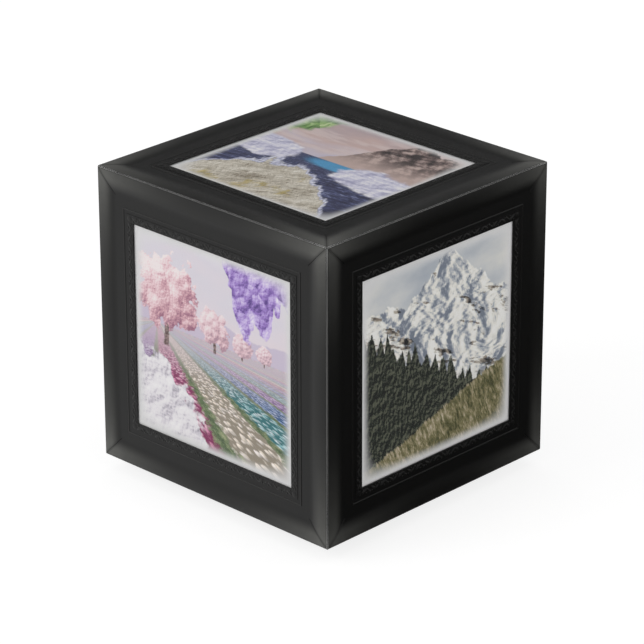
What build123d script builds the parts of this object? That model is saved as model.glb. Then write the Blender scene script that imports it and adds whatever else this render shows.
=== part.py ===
from build123d import *
import math
import os

# A rotating photo cube: five moulded picture frames pushed onto a hollow core, with a clear
# window, a print and a backing board in each frame, and a bottom panel that turns on a low
# round foot by way of a thrust ball race. All sizes are in millimetres. The origin is on the
# table under the centre of the foot, +Z is up, the front face looks along -Y.

# Print that each face takes, and how the frame holds it
print_side = 82.55       # three and a quarter inch print
print_thickness = 0.25
print_play = 0.2         # between the print and each side of the rebate
window_thickness = 0.3
lip_cover = 2.075        # how far the frame's lip covers the print along each edge
lip_thickness = 0.5      # lip that the window bears on
board_thickness = 3.5    # backing board, flush with the back of the frame
notch_radius = 8.0       # finger notch in the backing board

# Cube edges
mitre_gap = 0.12         # between two frames where they meet along a cube edge
edge_flat = 0.12         # set-back of the small flat along every cube edge

# Moulding of a face frame, read across the rail from the cube edge inwards
bead_width = 7.6         # outer round, measured from the cube edge
bead_crown = 0.4         # rise of that round over its own chord
bead_fall = 0.15         # inner end of the round below its outer end
cove_width = 1.1         # hollow between the round and the field
cove_hollow = 0.05       # how far that hollow sags under its chord
field_drop = 0.3         # flat field below the plane of the cube edges
field_width = 4.05
fillet_width = 0.6       # thin raised line
fillet_height = 0.2
groove_width = 1.35
band_width = 3.25        # band under the bead ornament, up to the sight edge
band_drop = 0.1          # that band below the plane of the cube edges
sight_bevel = 0.15       # bevel round the sight opening
mitre_line_width = 0.25  # scored line down each mitre of the moulding
mitre_line_depth = 0.25
mitre_line_run = 0.9     # how far that line runs out over the field
cut_overrun = 1.0        # how far every cutting shape runs past what it cuts

# Pins pressed into the back of each frame, and their push-fit sockets in the core
pin_diameter = 3.2
pin_reach = 5.0          # how far a pin stands out of the back of its frame
pin_seat = 2.5           # how deep it sits in the frame
pin_seat_play = 0.03     # radial
pin_tip = 0.6            # taper at the end of a pin
pin_inset = 11.0         # pin axis from the cube edge
pin_row_near = 18.0      # pins above and below the face's middle, on the right rail
pin_row_far = 28.0       # the same on the left rail, so that pins of two faces never cross
socket_play = 0.1        # radial
socket_room = 0.5        # past the end of a pin
socket_floor = 1.2       # material past the end of a socket
socket_boss_wall = 1.7

# Core
core_wall = 3.0
corner_fillet = 1.0      # inside corners of the core

# Low foot that the cube turns on
foot_plate_floor = 2.5
foot_rim_wall = 4.7      # ring on the plate's edge, round the lower race
foot_plate_chamfer = 0.8
pad_diameter = 9.0
pad_height = 1.5
pad_recess = 0.5         # how deep a rubber pad sits in the foot plate
pad_inset = 9.0          # pad axis from the edge of the foot plate
pad_count = 4
pad_play = 0.1
running_gap = 0.5        # between the foot plate and what turns over it
hub_diameter = 20.0      # raised middle of the foot plate

# Thrust ball race
ball_diameter = 4.0
ball_count = 12
ball_circle = 60.0
ball_play = 0.1          # radial room of a ball in its groove
race_sheet = 1.0         # thickness of the pressed races
race_gap = 1.8           # between the flats of the two races
race_edge = 0.9          # sheet left between a screw head and the edge of a race
race_play = 0.3          # between a race and the wall round it
upper_race_recess = 1.3  # how deep the upper race sits in the bottom panel
groove_play = 0.15       # between a race's groove and the plastic under it
cage_width = 6.0
cage_thickness = 0.8
cage_play = 0.12         # radial room of a ball in the cage
cage_clearance = 0.3     # between the cage and the screw heads beside it

# Pivot bolt that keeps the foot and the cube together
bolt_diameter = 6.0
bolt_thread_diameter = 5.0
bolt_head_diameter = 11.0
bolt_head_height = 2.4
bolt_head_recess = 0.3   # head below the underside of the foot plate
bolt_hex = 4.0           # across the flats of the socket in the head
bolt_hex_depth = 1.4
bolt_end = 1.2           # thread that shows past the nut
bolt_play = 0.08         # radial, in its bores
bush_wall = 1.5
bush_flange_diameter = 14.0
bush_flange_thickness = 1.2
bush_play = 0.05         # radial, between the bush and the bottom panel
axial_play = 0.15        # between the bush and the washer over it
washer_diameter = 13.0
washer_thickness = 0.8
nut_flats = 8.0
nut_height = 4.0

# Screws
screw_play = 0.05        # radial, between a shank and its pilot hole
race_screw_diameter = 2.2
race_screw_head = 3.8
race_screw_head_height = 1.1
lower_screw_length = 2.6
upper_screw_length = 3.2
race_screw_count = 4
panel_screw_diameter = 3.0
panel_screw_head = 6.0
panel_screw_length = 14.0
panel_boss_diameter = 9.0
panel_boss_height = 12.0
panel_boss_bite = 0.35      # how far that boss runs into the walls of the core
recess_width_share = 0.55   # cross recess across the head of a screw
recess_slot_share = 0.16    # width of one of its slots
recess_depth_share = 0.5    # of the height of the head

# Moulding, measured from the cube edge across the rail, and from its plane to the back
cove_end = bead_width + cove_width
fillet_start = cove_end + field_width
groove_start = fillet_start + fillet_width
band_start = groove_start + groove_width
rail_width = band_start + band_width
mitre_line_end = cove_end + mitre_line_run
lip_back = band_drop + lip_thickness
print_front = lip_back + window_thickness
board_front = print_front + print_thickness
frame_depth = board_front + board_thickness

# Cube that the frames make up, from edge to edge
cube_side = print_side + 2 * (rail_width - lip_cover)
half = cube_side / 2
core_half = half - frame_depth

# Circles of the ball race and the foot
screw_set = (cage_width + race_screw_head) / 2 + cage_clearance
race_land = screw_set + race_screw_head / 2 + race_edge
lower_screw_circle = ball_circle - 2 * screw_set
upper_screw_circle = ball_circle + 2 * screw_set
race_inner_radius = ball_circle / 2 - race_land
race_outer_radius = ball_circle / 2 + race_land
foot_plate_radius = race_outer_radius + race_play + foot_rim_wall
pad_circle = 2 * (foot_plate_radius - pad_inset)

# Levels, from the table up
pad_top = pad_height
plate_under = pad_height - pad_recess
plate_floor_top = plate_under + foot_plate_floor
lower_race_top = plate_floor_top + race_sheet
ball_level = lower_race_top + race_gap / 2
upper_race_under = lower_race_top + race_gap
upper_race_top = upper_race_under + race_sheet
cube_bottom = upper_race_top - upper_race_recess
cube_middle = cube_bottom + half
panel_top = cube_bottom + frame_depth
plate_rim_top = cube_bottom - running_gap
hub_top = upper_race_top - running_gap

# Sizes that follow from those above
cube_top = cube_bottom + cube_side
mitre_set = mitre_gap / math.sqrt(2)
rebate_inset = half - print_side / 2 - print_play
pin_place = half - pin_inset
socket_radius = pin_diameter / 2 + socket_play
socket_depth = pin_reach + socket_room
groove_radius = ball_diameter / 2 + ball_play
groove_outer_radius = groove_radius + race_sheet
groove_half_width = math.sqrt(groove_outer_radius**2 - (race_gap / 2 + race_sheet) ** 2)
bush_radius = bolt_diameter / 2 + bolt_play + bush_wall
washer_level = panel_top + bush_flange_thickness + axial_play
nut_level = washer_level + washer_thickness
panel_screw_reach = core_half - core_wall + panel_boss_bite - panel_boss_diameter / 2

# Each face: the direction it looks in, and its own left to right
faces = {
    "front": ((0, -1, 0), (1, 0, 0)),
    "right": ((1, 0, 0), (0, 1, 0)),
    "back": ((0, 1, 0), (-1, 0, 0)),
    "left": ((-1, 0, 0), (0, -1, 0)),
    "top": ((0, 0, 1), (0, 1, 0)),
}


def on_face(name):
    """Place of a face: its middle on the plane of the cube edges, with local +Z pointing out."""
    out, across = (Vector(*direction) for direction in faces[name])
    middle = Vector(0, 0, cube_middle) + out * half
    return Plane(origin=middle, x_dir=across, z_dir=out).location


def pin_places():
    """Places of a frame's four pins, in the plane of the face."""
    return [
        Pos(side * pin_place, rise * row)
        for side, row in ((-1, pin_row_far), (1, pin_row_near))
        for rise in (-1, 1)
    ]


def block(reach, low, high):
    """Square block between two levels, reaching as far to all four sides."""
    return Pos(0, 0, low) * Box(2 * reach, 2 * reach, high - low, align=(Align.CENTER, Align.CENTER, Align.MIN))


def sloping_block(low_reach, high_reach, low, high):
    """Square block with sloping sides, between two levels."""
    ends = [(low_reach, low), (high_reach, high)]
    return loft([Pos(0, 0, level) * Rectangle(2 * reach, 2 * reach) for reach, level in ends], ruled=True)


def disc(radius, low, high):
    """Upright cylinder between two levels."""
    return Pos(0, 0, low) * Cylinder(radius, high - low, align=(Align.CENTER, Align.CENTER, Align.MIN))


# Face frames


def moulding():
    """Section of one rail, with the cube edge at the origin, inwards along +X and outwards along +Y."""
    outer_back = (mitre_set + frame_depth, -frame_depth)
    flat_low = (mitre_set + edge_flat, -edge_flat)
    flat_high = (mitre_set + 2 * edge_flat, 0)
    bead_end = (bead_width, -bead_fall)
    chord = Vector(*bead_end) - Vector(*flat_high)
    crown = Vector(*flat_high) + chord / 2 + Vector(-chord.Y, chord.X).normalized() * bead_crown
    field_start = (cove_end, -field_drop)
    cove_chord = Vector(*field_start) - Vector(*bead_end)
    sag = Vector(*bead_end) + cove_chord / 2 + Vector(cove_chord.Y, -cove_chord.X).normalized() * cove_hollow
    fillet_low = (fillet_start, -field_drop)
    fillet_crown = (fillet_start + fillet_width / 2, fillet_height - field_drop)
    fillet_end = (groove_start, -field_drop)
    front = [
        Line(outer_back, flat_low),
        Line(flat_low, flat_high),
        ThreePointArc(flat_high, crown, bead_end),
        ThreePointArc(bead_end, sag, field_start),
        Line(field_start, fillet_low),
        ThreePointArc(fillet_low, fillet_crown, fillet_end),
    ]
    back = Polyline(
        fillet_end,
        (band_start, -field_drop),
        (band_start, -band_drop),
        (rail_width - sight_bevel, -band_drop),
        (rail_width, -band_drop - sight_bevel),
        (rail_width, -lip_back),
        (rebate_inset, -lip_back),
        (rebate_inset, -frame_depth),
        outer_back,
    )
    return make_face(Curve() + front + back)


def plain_frame():
    """Four rails of that section, mitred at the corners of the square."""
    section = Plane(origin=(0, -half, 0), x_dir=(0, 1, 0), z_dir=(1, 0, 0)) * moulding()
    rail = extrude(section, amount=half, both=True)
    reach = half + cut_overrun
    quarter = make_face(Polyline((0, 0), (-reach, -reach), (reach, -reach), (0, 0)))
    rail &= Pos(0, 0, -2 * frame_depth) * extrude(quarter, amount=4 * frame_depth)
    return Part() + [Rot(0, 0, 90 * turn) * rail for turn in range(4)]


def mitre_lines(frame):
    """What the scored lines take off: thin diagonal slabs down to the moulding's own shape, lowered."""
    inner, outer = (half - mitre_line_end) * math.sqrt(2), half * math.sqrt(2)
    slab = Pos(inner, 0, 0) * Box(outer - inner, mitre_line_width, 4 * frame_depth,
                                  align=(Align.MIN, Align.CENTER, Align.CENTER))
    slabs = Part() + [Rot(0, 0, 45 + 90 * turn) * slab for turn in range(4)]
    return slabs - Pos(0, 0, -mitre_line_depth) * frame


def face_frame():
    """Moulded frame with its scored mitres and a blind hole for every pin."""
    frame = plain_frame()
    frame -= mitre_lines(frame)
    hole = disc(pin_diameter / 2 + pin_seat_play, -frame_depth - cut_overrun, pin_seat - frame_depth)
    return frame - [place * hole for place in pin_places()]


def frame_pins():
    """Four pins that stand out of the back of a frame, with tapered tips."""
    pin = disc(pin_diameter / 2, -frame_depth - pin_reach, pin_seat - frame_depth)
    pin = chamfer(pin.edges().group_by(Axis.Z)[0], pin_tip)
    return Part() + [place * pin for place in pin_places()]


def window():
    return block(print_side / 2, -print_front, -lip_back)


def photo_print():
    return block(print_side / 2, -board_front, -print_front)


def backing_board():
    """Board that closes the back of a frame, with a finger notch in its lower edge."""
    board = block(print_side / 2, -frame_depth, -board_front)
    notch = disc(notch_radius, -frame_depth - cut_overrun, -board_front + cut_overrun)
    return board - Pos(0, -print_side / 2, 0) * notch


# Core and bottom panel


def core_shell():
    """Open-bottomed box with a socket for every frame pin and a boss for every panel screw."""
    core_top = cube_top - frame_depth
    shell = block(core_half, panel_top, core_top)
    hollow = block(core_half - core_wall, panel_top - cut_overrun, core_top - core_wall)
    shell -= fillet(hollow.edges().filter_by(Axis.Z), corner_fillet)
    depth = frame_depth + socket_depth
    boss = disc(socket_radius + socket_boss_wall, -depth - socket_floor, -frame_depth - core_wall / 2)
    socket = disc(socket_radius, -depth, -frame_depth + cut_overrun)
    places = [on_face(name) * place for name in faces for place in pin_places()]
    shell += [place * boss for place in places]
    shell += [Rot(0, 0, 90 * turn) * corner_boss() for turn in range(4)]
    shell -= [place * socket for place in places]
    pilot = disc(panel_screw_diameter / 2 + screw_play, panel_top - cut_overrun,
                 cube_bottom + panel_screw_length + socket_room)
    return shell - [place * pilot for place in panel_screw_places()]


def corner_boss():
    """Boss of one panel screw, filled out to the corner of the core."""
    top = panel_top + panel_boss_height
    corner = core_half - core_wall / 2 - panel_screw_reach
    fill = Box(corner, corner, panel_boss_height, align=(Align.MIN, Align.MIN, Align.MIN))
    round_part = disc(panel_boss_diameter / 2, panel_top, top)
    return Pos(panel_screw_reach, panel_screw_reach) * (round_part + Pos(0, 0, panel_top) * fill)


def panel_screw_places():
    return [Pos(x * panel_screw_reach, y * panel_screw_reach) for x in (-1, 1) for y in (-1, 1)]


def race_groove_room(flat_level, deep_level, overrun):
    """Ring that clears the pressed groove of a race, cut into the plastic that carries the race."""
    width = groove_half_width + groove_play
    low, high = sorted((flat_level + overrun, deep_level))
    return disc(ball_circle / 2 + width, low, high) - disc(ball_circle / 2 - width, low, high)


def bottom_panel():
    """Square panel mitred to the frames, recessed for the upper race and bored for the pivot bush."""
    outer = half - mitre_set
    panel = sloping_block(outer - edge_flat, core_half - mitre_set, cube_bottom + edge_flat, panel_top)
    panel += sloping_block(outer - 2 * edge_flat, outer - edge_flat, cube_bottom, cube_bottom + edge_flat)
    panel -= disc(race_outer_radius + race_play, cube_bottom - cut_overrun, upper_race_top)
    panel -= race_groove_room(upper_race_top, ball_level + groove_outer_radius + groove_play, -cut_overrun)
    panel -= disc(bush_radius + bush_play, cube_bottom, panel_top + cut_overrun)
    pilot = disc(race_screw_diameter / 2 + screw_play, upper_race_under - cut_overrun,
                 upper_race_under + upper_screw_length + socket_room)
    panel -= [place * pilot for place in race_screw_places(upper_screw_circle)]
    hole = disc(panel_screw_diameter / 2 + screw_play, cube_bottom - cut_overrun, panel_top + cut_overrun)
    sink = Pos(0, 0, cube_bottom) * countersink(screw_play)
    return panel - [place * (hole + sink) for place in panel_screw_places()]


def countersink(play):
    """Cone of a panel screw's head, standing on its widest face."""
    wide, narrow = panel_screw_head / 2 + play, panel_screw_diameter / 2 + play
    return Cone(wide, narrow, wide - narrow, align=(Align.CENTER, Align.CENTER, Align.MIN))


# Foot


def foot_plate():
    """Round plate with a hub round the bolt and recesses for its pads."""
    plate = disc(foot_plate_radius, plate_under, plate_floor_top)
    plate = chamfer(plate.edges().group_by(Axis.Z)[0], foot_plate_chamfer)
    plate += disc(hub_diameter / 2, plate_floor_top, hub_top)
    plate -= race_groove_room(plate_floor_top, ball_level - groove_outer_radius - groove_play, cut_overrun)
    plate -= disc(bolt_diameter / 2 + bolt_play, plate_under - cut_overrun, hub_top + cut_overrun)
    head_top = plate_under + bolt_head_recess + bolt_head_height
    plate -= disc(bolt_head_diameter / 2 + bolt_play, plate_under - cut_overrun, head_top)
    recess = disc(pad_diameter / 2 + pad_play, plate_under - cut_overrun, pad_top)
    plate -= [place * recess for place in pad_places()]
    pilot = disc(race_screw_diameter / 2 + screw_play, lower_race_top - lower_screw_length,
                 plate_floor_top + cut_overrun)
    return plate - [place * pilot for place in race_screw_places(lower_screw_circle)]


def foot_rim():
    """Ring welded to the edge of the foot plate, round the lower race."""
    rim = disc(foot_plate_radius, plate_floor_top, plate_rim_top)
    rim = chamfer(rim.edges().group_by(Axis.Z)[-1], foot_plate_chamfer)
    return rim - disc(race_outer_radius + race_play, plate_floor_top - cut_overrun, plate_rim_top + cut_overrun)


def pad_places():
    return PolarLocations(pad_circle / 2, pad_count, start_angle=45)


def foot_pads():
    """Rubber pads that the foot stands on."""
    return Part() + [place * disc(pad_diameter / 2, 0, pad_top) for place in pad_places()]


# Ball race


def race_screw_places(circle):
    return PolarLocations(circle / 2, race_screw_count)


def race(up):
    """Pressed ring with a ball groove round it. The groove opens upwards where up is 1, downwards at -1."""
    flat = ball_level - up * race_gap / 2
    back = flat - up * race_sheet
    middle = ball_circle / 2
    inner, outer = race_inner_radius, race_outer_radius
    mouth = math.sqrt(groove_radius**2 - (race_gap / 2) ** 2)
    section = [
        Line((inner, back), (inner, flat)),
        Line((inner, flat), (middle - mouth, flat)),
        ThreePointArc((middle - mouth, flat), (middle, ball_level - up * groove_radius), (middle + mouth, flat)),
        Line((middle + mouth, flat), (outer, flat)),
        Line((outer, flat), (outer, back)),
        Line((outer, back), (middle + groove_half_width, back)),
        ThreePointArc((middle + groove_half_width, back), (middle, ball_level - up * groove_outer_radius),
                      (middle - groove_half_width, back)),
        Line((middle - groove_half_width, back), (inner, back)),
    ]
    ring = revolve(Plane.XZ * make_face(Curve() + section), Axis.Z)
    circle = lower_screw_circle if up > 0 else upper_screw_circle
    low, high = sorted((flat + up * cut_overrun, back - up * cut_overrun))
    hole = disc(race_screw_diameter / 2 + screw_play, low, high)
    return ring - [place * hole for place in race_screw_places(circle)]


def bearing_balls():
    places = PolarLocations(ball_circle / 2, ball_count)
    return Part() + [place * Pos(0, 0, ball_level) * Sphere(ball_diameter / 2) for place in places]


def ball_cage():
    """Thin ring that keeps the balls apart."""
    low, high = ball_level - cage_thickness / 2, ball_level + cage_thickness / 2
    ring = disc((ball_circle + cage_width) / 2, low, high) - disc((ball_circle - cage_width) / 2, low, high)
    pocket = disc(ball_diameter / 2 + cage_play, low - cut_overrun, high + cut_overrun)
    return ring - [place * pocket for place in PolarLocations(ball_circle / 2, ball_count)]


# Fasteners and pivot


def cross_recess(head_diameter, head_height):
    """Cross that is cut into the top of a screw head, which lies on the XY plane."""
    long, slot = head_diameter * recess_width_share, head_diameter * recess_slot_share
    deep = head_height * recess_depth_share
    bar = Box(long, slot, 2 * deep)
    return bar + Rot(0, 0, 90) * bar


def race_screw(length):
    """Pan-head screw with its seat on the XY plane and its shank downwards."""
    head = disc(race_screw_head / 2, 0, race_screw_head_height)
    head = chamfer(head.edges().group_by(Axis.Z)[-1], race_screw_head_height / 2)
    head -= Pos(0, 0, race_screw_head_height) * cross_recess(race_screw_head, race_screw_head_height)
    return head + disc(race_screw_diameter / 2, -length, 0)


def lower_race_screws():
    screw = Pos(0, 0, lower_race_top) * race_screw(lower_screw_length)
    return Part() + [place * screw for place in race_screw_places(lower_screw_circle)]


def upper_race_screws():
    screw = Pos(0, 0, upper_race_under) * Rot(180, 0, 0) * race_screw(upper_screw_length)
    return Part() + [place * screw for place in race_screw_places(upper_screw_circle)]


def panel_screws():
    """Countersunk screws that go up through the bottom panel into the core."""
    head = countersink(0)
    height = (panel_screw_head - panel_screw_diameter) / 2
    head -= cross_recess(panel_screw_head, height)
    screw = Pos(0, 0, cube_bottom) * (head + disc(panel_screw_diameter / 2, height, panel_screw_length))
    return Part() + [place * screw for place in panel_screw_places()]


def pivot_bolt():
    """Shoulder bolt: its head is up inside the foot plate and its shoulder ends under the washer."""
    head_under = plate_under + bolt_head_recess
    shoulder_start = head_under + bolt_head_height
    bolt = disc(bolt_head_diameter / 2, head_under, shoulder_start)
    bolt += disc(bolt_diameter / 2, shoulder_start, washer_level)
    bolt += disc(bolt_thread_diameter / 2, washer_level, nut_level + nut_height + bolt_end)
    socket = extrude(RegularPolygon(bolt_hex / 2, 6, major_radius=False), amount=bolt_hex_depth)
    return bolt - Pos(0, 0, head_under) * socket


def pivot_bush():
    """Flanged bush in the bottom panel, which turns on the bolt."""
    bush = disc(bush_radius, upper_race_top, panel_top)
    bush += disc(bush_flange_diameter / 2, panel_top, panel_top + bush_flange_thickness)
    top = panel_top + bush_flange_thickness + cut_overrun
    return bush - disc(bolt_diameter / 2 + bolt_play, upper_race_top - cut_overrun, top)


def pivot_washer():
    washer = disc(washer_diameter / 2, washer_level, nut_level)
    bore = disc(bolt_thread_diameter / 2 + bolt_play, washer_level - cut_overrun, nut_level + cut_overrun)
    return washer - bore


def pivot_nut():
    nut = extrude(RegularPolygon(nut_flats / 2, 6, major_radius=False), amount=nut_height)
    bore = disc(bolt_thread_diameter / 2 + bolt_play, -cut_overrun, nut_height + cut_overrun)
    return Pos(0, 0, nut_level) * (nut - bore)


def build():
    """Every piece by its node name."""
    made = {
        "foot_plate": foot_plate(),
        "foot_rim": foot_rim(),
        "foot_pads": foot_pads(),
        "lower_race": race(1),
        "lower_race_screws": lower_race_screws(),
        "bearing_balls": bearing_balls(),
        "ball_cage": ball_cage(),
        "upper_race": race(-1),
        "upper_race_screws": upper_race_screws(),
        "bottom_panel": bottom_panel(),
        "panel_screws": panel_screws(),
        "core_shell": core_shell(),
        "pivot_bolt": pivot_bolt(),
        "pivot_bush": pivot_bush(),
        "pivot_washer": pivot_washer(),
        "pivot_nut": pivot_nut(),
    }
    frame, pins = face_frame(), frame_pins()
    pane, picture, board = window(), photo_print(), backing_board()
    for name in faces:
        place = on_face(name)
        made[f"frame_{name}"] = place * frame
        made[f"pins_{name}"] = place * pins
        made[f"window_{name}"] = place * pane
        made[f"print_{name}"] = place * picture
        made[f"backing_{name}"] = place * board
    return made


os.makedirs("parts", exist_ok=True)
for node, shape in build().items():
    export_step(shape, f"parts/{node}.step")
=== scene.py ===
"""Looks of a rotating photo cube: moulded frames, printed pictures and a swivel foot, around its CAD parts."""

import math

import bmesh
import bpy
from mathutils import Matrix, Vector


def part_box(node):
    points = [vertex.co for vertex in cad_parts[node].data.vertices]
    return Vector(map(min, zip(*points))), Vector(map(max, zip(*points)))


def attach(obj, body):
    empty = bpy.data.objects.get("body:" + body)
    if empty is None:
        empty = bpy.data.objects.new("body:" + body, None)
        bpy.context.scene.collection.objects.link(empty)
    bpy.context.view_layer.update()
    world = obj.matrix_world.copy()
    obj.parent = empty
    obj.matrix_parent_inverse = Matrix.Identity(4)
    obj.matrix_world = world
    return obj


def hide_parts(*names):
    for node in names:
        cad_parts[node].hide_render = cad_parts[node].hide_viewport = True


bl_info = {
    "name": "Rotating photo cube",
    "version": (1, 0, 0),
    "blender": (4, 5, 0),
    "location": "View3D > Sidebar > Photo Cube",
    "description": "Builds the mouldings, pictures and finishes of a photo cube around its CAD parts",
    "category": "Object",
}

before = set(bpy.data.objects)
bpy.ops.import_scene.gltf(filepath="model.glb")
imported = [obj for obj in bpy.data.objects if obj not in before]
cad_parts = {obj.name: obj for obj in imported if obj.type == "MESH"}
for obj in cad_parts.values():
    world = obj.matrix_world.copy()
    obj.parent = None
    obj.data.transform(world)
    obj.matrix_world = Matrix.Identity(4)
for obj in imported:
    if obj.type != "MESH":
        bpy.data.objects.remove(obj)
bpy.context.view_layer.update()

MM = 0.001
# Each face: the way it looks, and the way its picture runs across
FACES = {
    "front": (Vector((0, -1, 0)), Vector((1, 0, 0))),
    "right": (Vector((1, 0, 0)), Vector((0, 1, 0))),
    "back": (Vector((0, 1, 0)), Vector((-1, 0, 0))),
    "left": (Vector((-1, 0, 0)), Vector((0, -1, 0))),
    "top": (Vector((0, 0, 1)), Vector((1, 0, 0))),
}
SIDES = 4
FULL_TURN = 2 * math.pi
QUARTER_TURN = math.pi / 2

# How finely the section's arcs are drawn, and the angles past which a piece shows a crease
BEAD_STEPS, COVE_STEPS, FILLET_STEPS = 18, 5, 8
MOULDING_CREASE, LEAF_CREASE = math.radians(28), math.radians(70)
MERGE_WITHIN = 0.001 * MM
SAME_PLACE = 0.002 * MM

# One scroll of the leaf band. Leaves: size, turn in slants, place along in pitches, place across in bud steps.
# Buds: size and the same two places.
SCROLL_LEAVES = ((1.0, 1.0, -0.16, 0.0), (0.68, -1.25, 0.20, 0.2))
SCROLL_BUDS = ((1.0, 0.44, -1.0), (0.7, -0.32, 1.0), (0.7, 0.02, -1.1))
BUD_STEP = 0.62
CORNER_LEAF_RISE = 1.3

# Sheen of the mouldings and their leaves, and the scales of its mottle and fine grain
SATIN_ROUGHNESS, SATIN_SPREAD, SATIN_SPECULAR = 0.40, 0.12, 0.23
MOTTLE_SCALE, GRAIN_SCALE = 420, 2600

# Painted highlight on the mouldings, in the lighter tone: how much along a rail, at its corners, and at least;
# painted shade: how much less of it on the right and left faces, and how dark beside a mitre, within what reach
HIGHLIGHT_POWER, HIGHLIGHT_RUN, HIGHLIGHT_CORNER, HIGHLIGHT_LEAST = 2.4, 0.58, 0.14, 0.025
SIDE_SHADE = 0.42
MITRE_SHADE, MITRE_REACH = 0.45, 1.6 * MM

# Lamps: place and size in metres. Cards that only gloss sees: size, place, turn and tone.
KEY_PLACE, KEY_SIZE = Vector((-0.7, -1.9, 1.25)), 1.3
FILL_PLACE, FILL_SIZE = Vector((2.0, 0.3, 0.5)), 1.2
FACING_THE_CUBE = Matrix.Rotation(math.radians(44), 4, "Z") @ Matrix.Rotation(QUARTER_TURN, 4, "X")
GLOSS_CARDS = {
    "floor_card": ((1.0, 1.0), (0.558, 0.28, 0.001), Matrix.Identity(4), (0.004, 0.004, 0.004)),
    "back_card": ((1.5, 1.2), (-0.36, 0.37, 0.72), FACING_THE_CUBE, (0.33, 0.33, 0.33)),
}
# Floor: radius in metres and its sides; tone for light, tone for sight, and the glow added to sight
FLOOR_RADIUS, FLOOR_SIDES = 6, 64
FLOOR_MATT, FLOOR_SEEN, FLOOR_GLOW = (0.82, 0.82, 0.82), (0.34, 0.34, 0.34), 0.80
# Camera: sensor width in millimetres, and the nearest distance that it sees in metres
SENSOR_WIDTH, NEAREST_SEEN = 36, 0.01

# How far the flats along the edges lie inside the cube's sharp edges
EDGE_SET = 0.205 * MM
FRAME_LOW, FRAME_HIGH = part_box("frame_front")
HALF_SIDE = FRAME_HIGH.x + EDGE_SET
CUBE_MIDDLE = Vector((0, 0, (FRAME_LOW.z + FRAME_HIGH.z) / 2))


def length(name, description, millimetres):
    """A length that a user can change."""
    return bpy.props.FloatProperty(
        name=name, description=description, default=millimetres * MM, precision=5, unit="LENGTH"
    )


def colour(name, description, *values):
    """A colour that a user can change."""
    return bpy.props.FloatVectorProperty(
        name=name, description=description, default=values, subtype="COLOR", size=3, min=0.0, max=1.0
    )


def share(name, description, value):
    """A plain number that a user can change."""
    return bpy.props.FloatProperty(name=name, description=description, default=value, precision=3)


class MouldingSizes(bpy.types.PropertyGroup):
    """Section of a face's moulding, from the cube's edge inwards."""

    edge_flat: length("Edge flat", "Width of the small flat along each edge of the cube", 0.12)
    bead_width: length("Bead width", "Width of the outer rounded bead", 6.475)
    bead_drop: length("Bead drop", "How much lower the bead ends than it starts", 0.12)
    bead_crown: length("Bead crown", "Rise of the bead over its chord", 0.25)
    cove_width: length("Cove width", "Width of the hollow between the bead and the field", 2.3)
    cove_sag: length("Cove sag", "Depth of the hollow under its chord", 0.045)
    field_level: length("Field level", "Depth of the flat field under the edges", 0.3)
    field_width: length("Field width", "Width of the flat field", 3.65)
    fillet_width: length("Fillet width", "Width of the fine round line", 0.6)
    fillet_rise: length("Fillet rise", "Height of the fine round line over the field", 0.186)
    groove_width: length("Groove width", "Width of the flat between the fine line and the leaf band", 1.35)
    band_rise: length("Band rise", "Height of the leaf band's ground over the field", 0.13)
    band_width: length("Band width", "Width of the leaf band's ground", 3.1)
    sight_bevel: length("Sight bevel", "Width and depth of the bevel at the picture's opening", 0.15)
    lip_back: length("Lip back", "Depth of the lip's back under the edges", 0.6)
    rebate_inset: length("Rebate inset", "How far the rebate's wall stands outside the opening", 2.275)
    back_level: length("Back level", "Depth of the frame's back under the edges", 4.65)
    mitre_line: length("Mitre line", "Width of the scored line at each mitre", 0.25)
    mitre_depth: length("Mitre depth", "Depth of the scored line at each mitre", 0.13)


class LeafSizes(bpy.types.PropertyGroup):
    """The scroll of crossing leaves and buds pressed along the inner band."""

    count: bpy.props.IntProperty(name="Scrolls", description="Scrolls along one side, an odd number", default=17)
    long: length("Leaf length", "Length of a scroll's longer leaf", 3.5)
    wide: length("Leaf width", "Width of a scroll's longer leaf", 1.2)
    high: length("Leaf height", "Height of a leaf over the band", 0.2)
    bud: length("Bud width", "Width of the bud between two scrolls", 1.0)
    slant: bpy.props.FloatProperty(
        name="Slant", description="Angle of the longer leaf from the band's run",
        default=math.radians(32), subtype="ANGLE",
    )
    corner: length("Corner leaf", "Width of the round leaf at each corner", 2.3)


class FinishColours(bpy.types.PropertyGroup):
    """Colours of the plastics, board and metals."""

    black: colour("Black plastic", "Colour of the mouldings", 0.0045, 0.0044, 0.0042)
    # Lighter tone: painted highlights on the mouldings, and the rubbed crests of the leaves
    rubbed_and_highlight: colour("Rubbed black", "Lighter tone of the mouldings at corners and crests", 0.170, 0.170, 0.158)
    # Edge flats: a painted highlight along the cube's edges, brightest at the corners
    edge: colour("Edge flat", "Tone of the small flats along the edges", 0.62, 0.62, 0.61)
    edge_corner_highlight: colour("Edge flat at a corner", "Tone of those flats at the corners", 0.97, 0.97, 0.95)
    paper: colour("Print paper", "White of the prints' border", 0.79, 0.785, 0.785)
    board: colour("Backing board", "Colour of the backing boards", 0.36, 0.345, 0.32)
    core: colour("Core plastic", "Colour of the core and bottom panel", 0.018, 0.018, 0.019)
    foot: colour("Foot plastic", "Colour of the foot plate", 0.014, 0.014, 0.014)
    rubber: colour("Rubber", "Colour of the foot pads", 0.030, 0.029, 0.028)
    steel: colour("Steel", "Colour of the races, balls and screws", 0.62, 0.61, 0.59)
    cage: colour("Cage nylon", "Colour of the ball cage", 0.60, 0.58, 0.52)
    bush: colour("Bush plastic", "Colour of the pivot bush", 0.70, 0.69, 0.66)


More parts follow.
